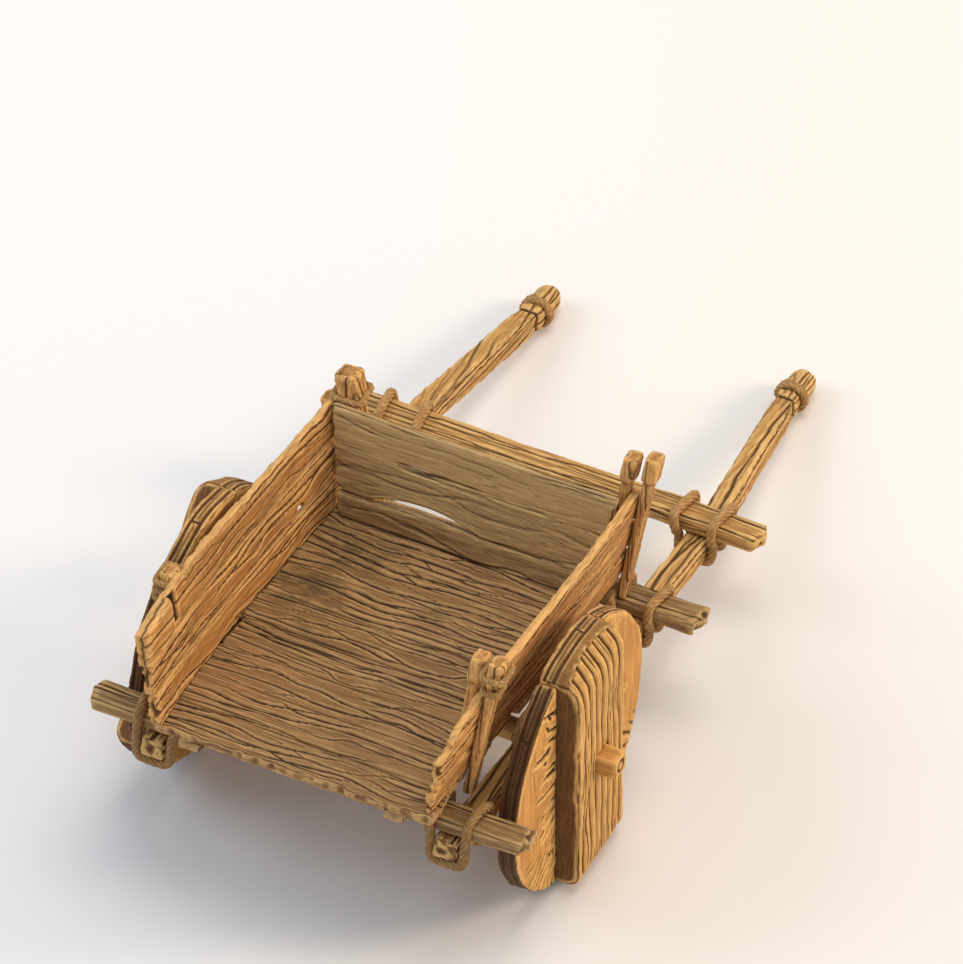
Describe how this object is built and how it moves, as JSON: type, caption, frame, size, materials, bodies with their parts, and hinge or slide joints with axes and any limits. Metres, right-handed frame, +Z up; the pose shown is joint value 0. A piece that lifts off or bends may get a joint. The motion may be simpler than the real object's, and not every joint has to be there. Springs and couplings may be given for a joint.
{
  "type": "model farm cart",
  "caption": "Weathered model farm cart with solid board wheels, staked plank sides, an open rear and long shafts under lashed crossbeams, parked nose-down.",
  "frame": {"origin": "on the ground under the middle of the parked cart: halfway between its rear end and its shaft tips, and halfway between its sides", "axes": "+X forward from the open rear to the shaft tips, +Y to the cart's left, +Z up; the cart stands parked nose-down on its wheels and shaft tips"},
  "size_m": [0.1099, 0.063, 0.0436],
  "materials": {
    "floor_wood": "matt hand-painted resin, grey-brown carved planks with a moss tint",
    "side_wood": "matt hand-painted resin, warm brown carved planks with tan edges",
    "wheel_wood": "matt hand-painted resin, yellow-tan carved boards with dark grooves",
    "shaft_wood": "matt hand-painted resin, pale tan carved poles with dark streaks",
    "frame_wood": "matt hand-painted resin, dark brown carved beams",
    "rope": "matt hand-painted resin rope, light tan with a dark wash"
  },
  "bodies": {
    "cart": {"left_shaft": "shaft_wood", "right_shaft": "shaft_wood", "rear_crossbeam": "frame_wood", "middle_crossbeam": "frame_wood", "front_crossbar": "frame_wood", "left_axle_block": "frame_wood", "right_axle_block": "frame_wood", "left_bearer": "frame_wood", "right_bearer": "frame_wood", "floor_plank_1": "floor_wood", "floor_plank_2": "floor_wood", "floor_plank_3": "floor_wood", "floor_plank_4": "floor_wood", "floor_plank_5": "floor_wood", "floor_plank_6": "floor_wood", "floor_plank_7": "floor_wood", "floor_plank_8": "floor_wood", "left_wall_lower": "side_wood", "left_wall_middle": "side_wood", "left_wall_upper": "side_wood", "right_wall_lower": "side_wood", "right_wall_middle": "side_wood", "right_wall_upper": "side_wood", "left_front_inner_stake": "side_wood", "left_front_outer_stake": "side_wood", "left_rear_outer_stake": "side_wood", "right_front_inner_stake": "side_wood", "right_front_outer_stake": "side_wood", "right_rear_inner_stake": "side_wood", "right_rear_outer_stake": "side_wood", "headboard_lower": "side_wood", "headboard_middle": "side_wood", "headboard_upper": "side_wood", "left_front_lashing": "rope", "right_front_lashing": "rope", "left_middle_lashing": "rope", "right_middle_lashing": "rope", "left_rear_lashing": "rope", "right_rear_lashing": "rope", "left_tip_collar": "rope", "right_tip_collar": "rope"},
    "wheelset": {"axle": "frame_wood", "left_wheel_centre_board": "wheel_wood", "left_wheel_front_board": "wheel_wood", "left_wheel_rear_board": "wheel_wood", "right_wheel_centre_board": "wheel_wood", "right_wheel_front_board": "wheel_wood", "right_wheel_rear_board": "wheel_wood"}
  },
  "joints": [
    {"name": "axle_turn", "type": "hinge", "parent": "cart", "child": "wheelset", "pos_m": [-0.02847, 0, 0.0179], "axis": [0, 1, 0], "continuous": true}
  ]
}
